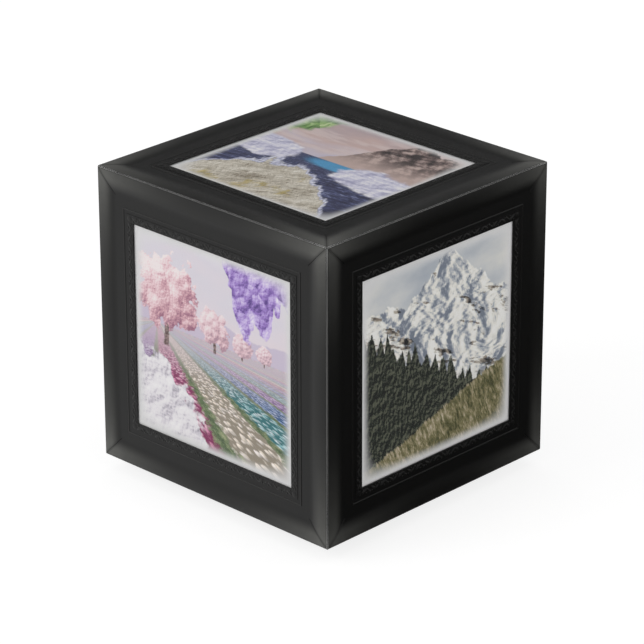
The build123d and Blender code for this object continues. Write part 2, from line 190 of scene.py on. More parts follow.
class StudioSettings(bpy.types.PropertyGroup):
    """Camera, lamps and floor."""

    azimuth: bpy.props.FloatProperty(
        name="Azimuth", description="Camera's turn about the cube", default=math.radians(44.07), subtype="ANGLE"
    )
    elevation: bpy.props.FloatProperty(
        name="Elevation", description="Camera's height angle", default=math.radians(23.29), subtype="ANGLE"
    )
    roll: bpy.props.FloatProperty(
        name="Roll", description="Camera's tilt", default=math.radians(-0.144), subtype="ANGLE"
    )
    distance: length("Distance", "Camera's distance from the cube's middle", 1272.9)
    aim_right: length("Aim right", "Camera's step to its right", -0.365)
    aim_up: length("Aim up", "Camera's step upwards", -4.458)
    lens: share("Lens", "Focal length in millimetres on a 36 mm sensor", 194.99)
    surround: share("Surround light", "Strength of the soft light from all round", 0.56)
    key: share("Key light", "Power of the large soft lamp at the front left, in watts", 16.5)
    fill: share("Fill light", "Power of the soft lamp at the right, in watts", 6.5)


SETTINGS = {
    "cube_moulding": MouldingSizes,
    "cube_leaves": LeafSizes,
    "cube_colours": FinishColours,
    "cube_studio": StudioSettings,
}


# Shapes


def face_matrix(face):
    """From a face's own plane (X across, Y up, Z outwards) to its place on the cube."""
    out, across = FACES[face]
    turn = Matrix((across, out.cross(across), out)).transposed().to_4x4()
    return Matrix.Translation(CUBE_MIDDLE) @ turn @ Matrix.Translation((0, 0, HALF_SIDE))


def linked(bm, name, material):
    """The mesh as an object of the scene, at the origin."""
    mesh = bpy.data.meshes.new(name)
    bm.to_mesh(mesh)
    bm.free()
    mesh.materials.append(material)
    piece = bpy.data.objects.new(name, mesh)
    bpy.context.scene.collection.objects.link(piece)
    return piece


def finished(bm, name, material, body, crease):
    """The mesh as a piece that is smooth but for its creases and rides on its body."""
    piece = linked(bm, name, material)
    piece.data.polygons.foreach_set("use_smooth", [True] * len(piece.data.polygons))
    piece.data.set_sharp_from_angle(angle=crease)
    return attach(piece, body)


class Pen:
    """Draws a section in the XZ plane, X from the face's middle and Z outwards."""

    def __init__(self, bm, x, z):
        self.bm = bm
        self.first = self.last = bm.verts.new((x, 0, z))

    def line(self, x, z):
        """A straight run to a point."""
        corner = self.bm.verts.new((x, 0, z))
        self.bm.edges.new((self.last, corner))
        self.last = corner

    def arc(self, x, z, crown, steps):
        """An arc to a point, spun about its centre; crown is its rise outwards, and less than zero for a hollow."""
        start, end = self.last.co.copy(), Vector((x, 0, z))
        chord = end - start
        radius = (chord.length_squared / 4 + crown * crown) / (2 * abs(crown))
        outwards = Vector((chord.z, 0, -chord.x)).normalized()
        if outwards.z < 0:
            outwards.negate()
        middle = (start + end) / 2
        centre = middle + outwards * (crown - math.copysign(radius, crown))
        angles = [math.atan2((point - centre).x, (point - centre).z) for point in (start, end)]
        sweep = (angles[1] - angles[0] + math.pi) % FULL_TURN - math.pi
        spun = bmesh.ops.spin(
            self.bm, geom=[self.last], cent=centre, axis=(0, 1, 0), dvec=(0, 0, 0), angle=sweep, steps=steps
        )
        self.last = next(part for part in spun["geom_last"] if isinstance(part, bmesh.types.BMVert))
        self.last.co = end

    def close(self):
        """The last run, back to the first point."""
        self.bm.edges.new((self.last, self.first))


def inset(sizes, *runs):
    """How far from the cube's edge a place lies, past the edge flat and these runs of the section."""
    return EDGE_SET + sizes.edge_flat + sum(getattr(sizes, f"{run}_width") for run in runs)


def half_opening(sizes):
    """Half the width of the opening for the picture."""
    return HALF_SIDE - inset(sizes, "bead", "cove", "field", "fillet", "groove", "band") - sizes.sight_bevel


def moulding_section(bm, sizes):
    """One closed section of the moulding, edge flat first."""
    x = HALF_SIDE - EDGE_SET
    pen = Pen(bm, x, -sizes.edge_flat)
    x -= sizes.edge_flat
    pen.line(x, 0)
    x -= sizes.bead_width
    pen.arc(x, -sizes.bead_drop, sizes.bead_crown, BEAD_STEPS)
    x -= sizes.cove_width
    pen.arc(x, -sizes.field_level, -sizes.cove_sag, COVE_STEPS)
    x -= sizes.field_width
    pen.line(x, -sizes.field_level)
    x -= sizes.fillet_width
    pen.arc(x, -sizes.field_level, sizes.fillet_rise, FILLET_STEPS)
    x -= sizes.groove_width
    pen.line(x, -sizes.field_level)
    band_level = sizes.band_rise - sizes.field_level
    pen.line(x, band_level)
    x -= sizes.band_width
    pen.line(x, band_level)
    x -= sizes.sight_bevel
    pen.line(x, band_level - sizes.sight_bevel)
    pen.line(x, -sizes.lip_back)
    pen.line(x + sizes.rebate_inset, -sizes.lip_back)
    pen.line(x + sizes.rebate_inset, -sizes.back_level)
    pen.line(HALF_SIDE - EDGE_SET - (sizes.back_level - sizes.edge_flat), -sizes.back_level)
    pen.close()


def mitred_ring(sizes):
    """Four mitred rails from one section, with a scored line at each mitre."""
    bm = bmesh.new()
    moulding_section(bm, sizes)
    to_mitre = Matrix(((1, 0, 0, 0), (1, 1, 0, 0), (0, 0, 1, 0), (0, 0, 0, 1)))
    bmesh.ops.transform(bm, matrix=to_mitre, verts=bm.verts)
    bmesh.ops.spin(
        bm, geom=bm.verts[:] + bm.edges[:], cent=(0, 0, 0), axis=(0, 0, 1), dvec=(0, 0, 0),
        angle=FULL_TURN, steps=SIDES, use_merge=True,
    )
    bmesh.ops.remove_doubles(bm, verts=bm.verts, dist=MERGE_WITHIN)
    bmesh.ops.recalc_face_normals(bm, faces=bm.faces)
    line_end = HALF_SIDE - inset(sizes, "bead", "cove")

    def on_line(vert):
        return (
            abs(abs(vert.co.x) - abs(vert.co.y)) < SAME_PLACE
            and abs(vert.co.x) > line_end - SAME_PLACE
            and vert.co.z > -sizes.field_level - SAME_PLACE
        )

    scored = [edge for edge in bm.edges if all(on_line(vert) for vert in edge.verts)]
    bmesh.ops.bevel(
        bm, geom=scored, offset=sizes.mitre_line / 2, offset_type="OFFSET", segments=2, profile=0.5,
        affect="EDGES", material=-1,
    )
    for vert in bm.verts:
        if on_line(vert) and abs(vert.co.x) > line_end + SAME_PLACE:
            vert.co.z -= sizes.mitre_depth
    return bm


def lay_rail_map(bm):
    """A UV map in metres: U runs along the rail and V from the cube's edge inwards."""
    rails = bm.loops.layers.uv.new("rail")
    facing_out = 0.15
    plain_place = HALF_SIDE / 2
    bm.normal_update()
    for face in bm.faces:
        middle = face.calc_center_median()
        upright = abs(middle.x) > abs(middle.y)
        seen = face.normal.z > facing_out
        for loop in face.loops:
            point = loop.vert.co
            along, across = (point.y, point.x) if upright else (point.x, point.y)
            loop[rails].uv = (along, HALF_SIDE - abs(across) if seen else plain_place)


def leaf_seed(sizes, size, slant, place):
    """One leaf of a scroll: a pointed, slightly bent oval with a vein down its middle."""
    bm = bmesh.new()
    bmesh.ops.create_uvsphere(bm, u_segments=8, v_segments=5, radius=0.5)
    bmesh.ops.rotate(bm, verts=bm.verts, cent=(0, 0, 0), matrix=Matrix.Rotation(QUARTER_TURN, 3, "Y"))
    taper, bend, vein_half, vein_level = 0.25, 0.30, 0.12, 0.82
    for vert in bm.verts:
        tip = abs(vert.co.x) * 2
        vert.co.y *= 1.0 - taper * tip
        vert.co.y += bend * (0.25 - vert.co.x * vert.co.x)
        if abs(vert.co.y) < vein_half and vert.co.z > 0:
            vert.co.z *= vein_level
    bmesh.ops.scale(bm, verts=bm.verts, vec=(sizes.long * size, sizes.wide * size, 2 * sizes.high))
    bmesh.ops.rotate(bm, verts=bm.verts, cent=(0, 0, 0), matrix=Matrix.Rotation(slant, 3, "Z"))
    bmesh.ops.translate(bm, verts=bm.verts, vec=(*place, 0))
    return bm


def bud_seed(sizes, size, place):
    """One round bud."""
    bm = bmesh.new()
    bmesh.ops.create_uvsphere(bm, u_segments=6, v_segments=4, radius=sizes.bud / 2 * size)
    bmesh.ops.scale(bm, verts=bm.verts, vec=(1, 1, 2 * sizes.high / (sizes.bud * size)))
    bmesh.ops.translate(bm, verts=bm.verts, vec=(*place, 0))
    return bm


def scroll_seed(sizes, pitch):
    """One scroll of the band: two leaves that cross, and buds where they part."""
    aside = sizes.wide * BUD_STEP
    pieces = [
        leaf_seed(sizes, size, turn * sizes.slant, (along * pitch, across * aside))
        for size, turn, along, across in SCROLL_LEAVES
    ]
    pieces += [bud_seed(sizes, size, (along * pitch, across * aside)) for size, along, across in SCROLL_BUDS]
    mesh = bpy.data.meshes.new("scroll")
    joined = bmesh.new()
    for piece in pieces:
        piece.to_mesh(mesh)
        piece.free()
        joined.from_mesh(mesh)
    joined.to_mesh(mesh)
    joined.free()
    return mesh


def leaf_row(sizes, moulding):
    """One side's scrolls, turned over by turns and mirrored about the middle, and a round leaf at its corner."""
    run = HALF_SIDE - inset(moulding, "bead", "cove", "field", "fillet", "groove") - moulding.band_width / 2
    level = moulding.band_rise - moulding.field_level
    pitch = (2 * run - sizes.corner) / sizes.count
    row = bmesh.new()
    seed = scroll_seed(sizes, pitch)
    half_count = sizes.count // 2
    for place in range(-half_count, half_count + 1):
        before = set(row.verts)
        row.from_mesh(seed)
        scroll = [vert for vert in row.verts if vert not in before]
        over = -1 if place % 2 else 1
        bmesh.ops.scale(row, verts=scroll, vec=(-1 if place > 0 else 1, over, 1))
        bmesh.ops.translate(row, verts=scroll, vec=(place * pitch, -run, level))
    bpy.data.meshes.remove(seed)
    corner = bmesh.ops.create_uvsphere(row, u_segments=10, v_segments=6, radius=sizes.corner / 2)["verts"]
    bmesh.ops.scale(row, verts=corner, vec=(1, 1, CORNER_LEAF_RISE * sizes.high / sizes.corner))
    bmesh.ops.translate(row, verts=corner, vec=(-run, -run, level))
    return row, level


def leaf_ring(sizes, moulding):
    """The leaves of all four sides."""
    row, level = leaf_row(sizes, moulding)
    bmesh.ops.spin(
        row, geom=row.verts[:] + row.edges[:] + row.faces[:], cent=(0, 0, 0), axis=(0, 0, 1), dvec=(0, 0, 0),
        angle=FULL_TURN - QUARTER_TURN, steps=SIDES - 1, use_duplicate=True,
    )
    bmesh.ops.recalc_face_normals(row, faces=row.faces)
    heights = row.loops.layers.uv.new("height")
    for face in row.faces:
        for loop in face.loops:
            height = (loop.vert.co.z - level) / sizes.high
            loop[heights].uv = (loop.vert.co.x + loop.vert.co.y, height)
    return row


# Materials


class Field:
    """A number that varies over a surface. Sums of fields are written like sums of numbers."""

    def __init__(self, finish, socket):
        self.finish = finish
        self.socket = socket

    def math(self, operation, *others):
        """This field and others through one Math node."""
        return self.finish.math(operation, self, *others)

    def __add__(self, other):
        return self.math("ADD", other)

    def __sub__(self, other):
        return self.math("SUBTRACT", other)

    def __rsub__(self, other):
        return self.finish.math("SUBTRACT", other, self)

    def __mul__(self, other):
        return self.math("MULTIPLY", other)

    def __rtruediv__(self, other):
        return self.finish.math("DIVIDE", other, self)

    def __neg__(self):
        return self.math("MULTIPLY", -1.0)

    def __abs__(self):
        return self.math("ABSOLUTE")

    __radd__ = __add__
    __rmul__ = __mul__

    def above(self, level, softness):
        """0 under the level and 1 over it, with a soft step between."""
        return self.step(level - softness, level + softness)

    def step(self, low, high):
        """A smooth step from 0 at low to 1 at high."""
        node = self.finish.put(
            "ShaderNodeMapRange", {"Value": self, "From Min": low, "From Max": high}, interpolation_type="SMOOTHSTEP"
        )
        return Field(self.finish, node.outputs["Result"])

    def hump(self, middle, reach):
        """1 at the middle, falling smoothly to 0 at a reach on both sides."""
        return 1 - abs(self - middle).step(0, reach)


class Nodes:
    """Puts nodes in a tree."""

    def __init__(self, tree):
        self.tree = tree

    def feed(self, socket, value):
        """A field or an output is linked to the socket; a plain value is set on it."""
        if isinstance(value, Field):
            value = value.socket
        if isinstance(value, bpy.types.NodeSocket):
            self.tree.links.new(value, socket)
        elif socket.type == "RGBA":
            socket.default_value = (*tuple(value)[:3], 1)
        else:
            socket.default_value = value

    def put(self, kind, inputs=None, **settings):
        """A new node with these settings and inputs."""
        node = self.tree.nodes.new(kind)
        for key, value in settings.items():
            setattr(node, key, value)
        for key, value in (inputs or {}).items():
            self.feed(node.inputs[key], value)
        return node

    def math(self, operation, *values):
        """One Math node."""
        return Field(self, self.put("ShaderNodeMath", dict(enumerate(values)), operation=operation).outputs[0])

    def point(self, x, y, z):
        """A point from three numbers."""
        return self.put("ShaderNodeCombineXYZ", {"X": x, "Y": y, "Z": z}).outputs[0]

    def noise(self, point, scale, detail=3.0, rough=0.5, bend=0.0):
        """Cloudy noise from 0 to 1."""
        node = self.put(
            "ShaderNodeTexNoise",
            {"Vector": point, "Scale": scale, "Detail": detail, "Roughness": rough, "Distortion": bend},
        )
        return Field(self, node.outputs[0])

    def clouds(self, x, y, seed, scale, **kind):
        """Cloudy noise over X and Y; the seed picks another part of it."""
        return self.noise(self.point(x, y, seed), scale, **kind)

    def cells(self, point, scale):
        """Distance from scattered points, and a random number for each of them."""
        node = self.put("ShaderNodeTexVoronoi", {"Vector": point, "Scale": scale})
        pick = self.put("ShaderNodeSeparateColor", {"Color": node.outputs["Color"]})
        return Field(self, node.outputs["Distance"]), Field(self, pick.outputs[0])

    def clumps(self, x, y, seed, scale, warp):
        """Round clumps: distance from each one's middle, its random number, and light falling on it from above."""
        x, y = x + warp, y - warp
        aside, above = 0.2 / scale, 0.3 / scale
        away, pick = self.cells(self.point(x, y, seed), scale)
        lit_away, _ = self.cells(self.point(x - aside, y + above, seed), scale)
        return away, pick, (lit_away - away) * 1.1 + 0.5

    def crowns(self, x, seed, count):
        """Rounded outlines side by side along X: each one's height from 0 to 1, and its random number."""
        away, pick = self.cells(self.point(x, 0.0, seed), count)
        aside = away * 1.9
        return (1 - aside * aside).math("MAXIMUM", 0.0).math("SQRT"), pick

    def relief(self, x, y, seed, scale, step=0.015, strength=2.5, **kind):
        """Cloudy noise, and the light and shade it would have as hills lit from the upper left."""
        here = self.clouds(x, y, seed, scale, **kind)
        lit_side = self.clouds(x - step, y + step, seed, scale, **kind)
        return here, (here - lit_side) * strength + 0.5

    def ramp(self, amount, *stops, sharp=False):
        """Colours set out along an amount from 0 to 1."""
        node = self.put("ShaderNodeValToRGB", {"Fac": amount})
        elements = node.color_ramp.elements
        while len(elements) < len(stops):
            elements.new(1.0)
        for element, (place, tone) in zip(elements, stops):
            element.position = place
            element.color = (*tone, 1)
        if sharp:
            node.color_ramp.interpolation = "CONSTANT"
        return node.outputs["Color"]

    def over(self, below, above, amount):
        """One colour laid over another."""
        node = self.put("ShaderNodeMix", data_type="RGBA")
        for socket, value in zip((node.inputs[6], node.inputs[7]), (below, above)):
            self.feed(socket, value)
        self.feed(node.inputs[0], amount)
        return node.outputs[2]

    def shaded(self, tone, amount):
        """A colour made darker or lighter by an amount."""
        return self.put("ShaderNodeVectorMath", {0: tone, "Scale": amount}, operation="SCALE").outputs[0]

    def object_point(self, matrix=None, scale=1.0):
        """Object coordinates, or those in a face's own plane."""
        place = self.put("ShaderNodeTexCoord").outputs["Object"]
        if matrix is None:
            return place
        turned = matrix.inverted()
        node = self.put("ShaderNodeMapping", {"Vector": place}, vector_type="POINT")
        node.inputs["Scale"].default_value = (scale,) * 3
        node.inputs["Rotation"].default_value = turned.to_3x3().to_euler("XYZ")
        node.inputs["Location"].default_value = turned.to_translation() * scale
        return node.outputs[0]

    def parts(self, point):
        """X, Y and Z of a point."""
        node = self.put("ShaderNodeSeparateXYZ", {"Vector": point})
        return [Field(self, output) for output in node.outputs]


class Finish(Nodes):
    """A material and the nodes that make it."""

    def __init__(self, name):
        self.material = bpy.data.materials.new(name)
        self.material.use_nodes = True
        super().__init__(self.material.node_tree)
        self.shader = self.tree.nodes["Principled BSDF"]

    def set(self, **values):
        """Sets sockets of the shader; an underscore stands for a space."""
        for key, value in values.items():
            self.feed(self.shader.inputs[key.replace("_", " ")], value)

    def bumped(self, height, strength, distance):
        """Small relief in the surface."""
        node = self.put("ShaderNodeBump", {"Strength": strength, "Distance": distance, "Height": height})
        self.set(Normal=node.outputs[0])


def satin(finish, point):
    """Uneven satin sheen, with the fine mottle of a moulded plastic; gives the mottle."""
    mottle = finish.noise(point, MOTTLE_SCALE, detail=4, rough=0.6)
    fine = finish.noise(point, GRAIN_SCALE, detail=2)
    finish.set(Roughness=mottle * SATIN_SPREAD + (SATIN_ROUGHNESS - SATIN_SPREAD / 2))
    finish.bumped(mottle * 0.7 + fine * 0.3, 0.35, 0.05 * MM)
    return mottle


def moulding_finish(colours, sizes):
    """Satin black, with painted highlights on the bead's corners, the fine line and the edge flats, and painted shade
    at mitres and sides.
    """
    finish = Finish("moulding_black")
    along, across, _ = finish.parts(finish.put("ShaderNodeUVMap", uv_map="rail").outputs[0])
    point = finish.object_point()
    mottle = satin(finish, point)
    cloud = finish.noise(point, 70, detail=4)

    # Painted shade: the right and left faces get less of the painted highlights than the others
    sideways = abs(finish.parts(finish.put("ShaderNodeTexCoord").outputs["Normal"])[0])
    side_shade = 1 - sideways.step(0.4, 0.8) * SIDE_SHADE

    # The bead's painted highlight: none at its rim, most at the corners, with painted shade beside the mitre
    bead_end = inset(sizes, "bead")
    on_bead = across.step(0.1 * MM, 1.0 * MM) * (1 - across.step(0.50 * bead_end, 1.20 * bead_end))
    towards_corner = abs(along) * (1 / HALF_SIDE)
    corner = towards_corner.step(0.80, 1.0)
    amount = towards_corner.math("POWER", HIGHLIGHT_POWER) * HIGHLIGHT_RUN + corner * HIGHLIGHT_CORNER + HIGHLIGHT_LEAST
    from_mitre = HALF_SIDE - across - abs(along)
    # Painted shade: the bead is darker close to each mitre
    painted_mitre_shade = from_mitre.step(0.0, MITRE_REACH) * MITRE_SHADE + (1 - MITRE_SHADE)
    glow = on_bead * amount * (cloud * 0.6 + mottle * 0.3 + 0.55) * painted_mitre_shade * side_shade

    # Painted highlight along the fine round line, less again on the right and left faces
    fillet_middle = inset(sizes, "bead", "cove", "field") + sizes.fillet_width / 2
    line = across.hump(fillet_middle, 0.75 * sizes.fillet_width) * (cloud * 0.06 + 0.02) * side_shade * side_shade
    # The painted highlights are laid over the black in the lighter tone
    tone = finish.over(colours.black, colours.rubbed_and_highlight, glow + line)

    # Pale edge flats: a painted highlight along the cube's edges, brighter at the corners
    flat_end = inset(sizes)
    edge_highlight = (1 - across.step(flat_end, flat_end + 0.4 * sizes.edge_flat)) * (cloud * 0.3 + corner + 0.75)
    tone = finish.over(tone, finish.over(colours.edge, colours.edge_corner_highlight, corner), edge_highlight)
    finish.set(Base_Color=tone, Specular_IOR_Level=SATIN_SPECULAR)
    return finish.material


def leaf_finish(colours):
    """The mouldings' black, rubbed lighter on the leaves' crests."""
    finish = Finish("leaf_black")
    height = finish.parts(finish.put("ShaderNodeUVMap", uv_map="height").outputs[0])[1]
    point = finish.object_point()
    crest = height.step(0.45, 1.0) * (satin(finish, point) * 0.5 + 0.12) * 0.26
    finish.set(Base_Color=finish.over(colours.black, colours.rubbed_and_highlight, crest), Specular_IOR_Level=SATIN_SPECULAR)
    return finish.material


def window_finish():
    """Thin clear film, almost unseen but for a faint haze."""
    finish = Finish("window_clear")
    haze = finish.noise(finish.object_point(), 60, detail=3)
    finish.set(Base_Color=(0.92, 0.93, 0.93), Roughness=haze * 0.06 + 0.04, Alpha=0.022, Specular_IOR_Level=0.5)
    return finish.material


def plastic_finish(name, tone, roughness, grain=900):
    """Moulded plastic with a fine grain and a slightly uneven tone."""
    finish = Finish(name)
    point = finish.object_point()
    grains = finish.noise(point, grain, detail=4, rough=0.65)
    cloud = finish.noise(point, 45, detail=3)
    finish.set(
        Base_Color=finish.shaded(tone, cloud * 0.5 + grains * 0.3 + 0.6),
        Roughness=grains * 0.16 + (roughness - 0.08),
        Specular_IOR_Level=0.4,
    )
    finish.bumped(grains, 0.3, 0.04 * MM)
    return finish.material


def board_finish(colours):
    """Grey card: felted fibres and darker flecks."""
    finish = Finish("backing_board")
    point = finish.object_point()
    fibre = finish.noise(point, 1500, detail=5, rough=0.7, bend=1.5)
    flecks = finish.noise(point, 900, detail=2).above(0.68, 0.05)
    tone = finish.shaded(colours.board, fibre * 0.5 + 0.75)
    tone = finish.over(tone, (0.12, 0.11, 0.10), flecks * 0.45)
    finish.set(Base_Color=tone, Roughness=fibre * 0.1 + 0.83, Specular_IOR_Level=0.15)
    finish.bumped(fibre, 0.4, 0.05 * MM)
    return finish.material


def rubber_finish(colours):
    """Dull rubber, dusted lighter in its grain."""
    finish = Finish("foot_rubber")
    point = finish.object_point()
    grain = finish.noise(point, 1300, detail=5, rough=0.7)
    tone = finish.over(colours.rubber, (0.11, 0.105, 0.10), grain.above(0.62, 0.1) * 0.35)
    finish.set(Base_Color=tone, Roughness=grain * 0.15 + 0.75, Specular_IOR_Level=0.25)
    finish.bumped(grain, 0.4, 0.06 * MM)
    return finish.material


def turned_steel_finish(name, tone, roughness, rings=0.0):
    """Zinc-grey steel; rings are the fine circles of turning or running wear, per metre."""
    finish = Finish(name)
    point = finish.object_point()
    x, y, z = finish.parts(point)
    away = (x * x + y * y).math("SQRT")
    cloud = finish.noise(point, 160, detail=4)
    if rings:
        circles = finish.clouds(away * rings, z * rings, 0.0, 1.0, detail=3)
        shade = circles * 0.35 + cloud * 0.2 + 0.72
        gloss = circles * 0.14 + (roughness - 0.05)
        finish.bumped(circles, 0.15, 0.02 * MM)
    else:
        shade = cloud * 0.3 + 0.82
        gloss = cloud * 0.14 + (roughness - 0.07)
    finish.set(Base_Color=finish.shaded(tone, shade), Roughness=gloss, Metallic=1.0)
    return finish.material


# Pictures


class Picture(Finish):
    """A print's finish, painted in layers over X across and Y up, from -1 to 1 at the edges of the opening."""

    def __init__(self, face, opening):
        super().__init__(f"picture_{face}")
        self.x, self.y, _ = self.parts(self.object_point(face_matrix(face), 1 / opening))
        self.tone = None

    def lay(self, tone, amount):
        """Lays a colour over what is painted so far, by an amount from 0 to 1."""
        self.tone = self.over(self.tone, tone, amount)

    def fill(self, tone, line, softness):
        """Lays a colour over all that is under a line."""
        self.lay(tone, (line - self.y).above(0, softness))


def reach(x, y, middle, squash=1.0):
    """Distance from a middle point; squash stretches it upright."""
    right, up = x - middle[0], y - middle[1]
    return (right * right + up * up * squash).math("SQRT")


def flower_rows(art, x, y):
    """Rows of flowers under a pale dawn: trees in blossom at their end, a spray of blossom above, white puffs below."""
    horizon = 0.12
    cloud = art.clouds(x, y * 2.0, 3.0, 1.5, detail=6)
    art.tone = art.ramp(
        y * 0.45 + cloud * 0.6,
        (0.20, (0.92, 0.76, 0.77)), (0.42, (0.84, 0.75, 0.80)), (0.62, (0.78, 0.74, 0.81)), (0.9, (0.88, 0.86, 0.89)),
    )
    far = art.clouds(x, 0.0, 7.0, 1.4, detail=5) * 0.40 + (horizon - 0.03)
    art.lay((0.60, 0.53, 0.68), (far - y).above(0, 0.012) * 0.8)
    depth = 1 / (horizon - y).math("MAXIMUM", 0.02)
    rows = (x + 0.72) * depth
    wander = art.clouds(rows, depth * 2.0, 5.0, 2.0) * 0.2
    lane = (rows + wander).math("FRACT")
    which = ((rows + wander).math("FLOOR") * 0.382 + 0.08).math("FRACT")
    stem, shade = art.relief(rows, depth * 1.2, 1.0, 10, step=0.03, detail=6, rough=0.7)
    soil = art.ramp(stem, (0.3, (0.03, 0.05, 0.03)), (0.5, (0.12, 0.18, 0.08)), (0.7, (0.42, 0.44, 0.26)))
    paint = art.ramp(
        which,
        (0.0, (0.66, 0.07, 0.30)), (0.2, (0.09, 0.28, 0.66)), (0.4, (0.86, 0.74, 0.58)),
        (0.6, (0.36, 0.13, 0.58)), (0.8, (0.08, 0.46, 0.50)), sharp=True,
    )
    away, pick, lit = art.clumps(rows, depth * 1.2, 12.0, 11.0, stem * 0.12)
    petal = art.over(paint, (0.94, 0.89, 0.91), pick * 0.40 + lit * 0.35)
    petal = art.shaded(petal, lit * 0.9 + shade * 0.5 + 0.05)
    bed = art.over(art.shaded(paint, 0.38), petal, 1 - away.step(0.42, 0.62))
    bed = art.over(bed, soil, (stem * 0.5 + abs(lane - 0.5)).above(0.65, 0.04))
    bed = art.over(bed, (0.84, 0.72, 0.78), (y + 0.42).step(0.0, 0.52) * 0.6)
    art.fill(bed, horizon - 0.01, 0.008)
    wave = art.clouds(x, y, 8.0, 5.0, detail=6, rough=0.62)
    _, glint = art.relief(x, y, 10.0, 24, step=0.010, detail=6, rough=0.72)
    bark = art.ramp(glint, (0.3, (0.10, 0.06, 0.06)), (0.7, (0.34, 0.24, 0.23)))
    for middle, centre, size in ((0.66, 0.20, 0.11), (0.38, 0.22, 0.15), (0.02, 0.27, 0.23), (-0.60, 0.44, 0.46)):
        right, up = (x - middle) * (1 / size), (y - centre) * (1 / size)
        trunk = 1 - abs(x - middle + (wave - 0.5) * size * 0.3).above(size * 0.07, size * 0.015)
        trunk = trunk * (-up).above(0, 0.05) * (y - horizon + size * 0.45).above(0.0, 0.01)
        art.lay(bark, trunk)
        away, pick, lit = art.clumps(x, y, middle, 3.2 / size, wave * 0.5 * size)
        edge = (wave - 0.5) * 1.7 + 0.95 - reach(right, up, (0, 0), 1.25) - away * 0.14
        light = lit * 0.42 + glint * 0.34 + up * 0.20 - right * 0.12 + pick * 0.08 + 0.06
        pink = art.ramp(
            light,
            (0.20, (0.36, 0.15, 0.23)), (0.38, (0.70, 0.40, 0.46)),
            (0.52, (0.90, 0.66, 0.70)), (0.72, (0.97, 0.88, 0.88)),
        )
        art.lay(art.over(pink, (0.88, 0.78, 0.83), 0.46 - size), edge.above(0.0, 0.03))
    rag = art.clouds(x, y, 9.0, 4.5, detail=4)
    away, _, lit = art.clumps(x, y, 2.0, 6.5, rag * 0.25)
    _, glint = art.relief(x, y, 6.0, 16, detail=6, rough=0.72)
    puff = art.ramp(
        lit * 0.55 + glint * 0.45,
        (0.18, (0.40, 0.37, 0.43)), (0.36, (0.70, 0.66, 0.72)), (0.52, (0.88, 0.85, 0.88)), (0.8, (0.96, 0.94, 0.95)),
    )
    art.lay(puff, 1 - (reach(x, y, (-0.95, -1.05)) + rag * 0.5 + away * 0.1).above(1.14, 0.02))
    for row, (count, long) in enumerate(((3.3, 0.42), (2.3, 0.62))):
        away, pick, lit = art.clumps(x, y * 0.8, 4.0 + row, 13.0 - 2 * row, rag * 0.16)
        _, glint = art.relief(x, y, 14.0 + row, 26, step=0.008, detail=4)
        blossom = art.ramp(
            lit * 0.5 + glint * 0.30 + pick * 0.2,
            (0.2, (0.12, 0.06, 0.28)), (0.42, (0.36, 0.22, 0.62)),
            (0.6, (0.62, 0.49, 0.84)), (0.85, (0.90, 0.84, 0.96)),
        )
        dome, pick = art.crowns(x, 6.0 + row, count)
        hang = dome * (pick * 0.4 + long) + (x - 0.62) * 1.1 + (rag - 0.5) * 0.4 - away * 0.07
        art.lay(blossom, (hang + y - 1.0).above(0.0, 0.015))


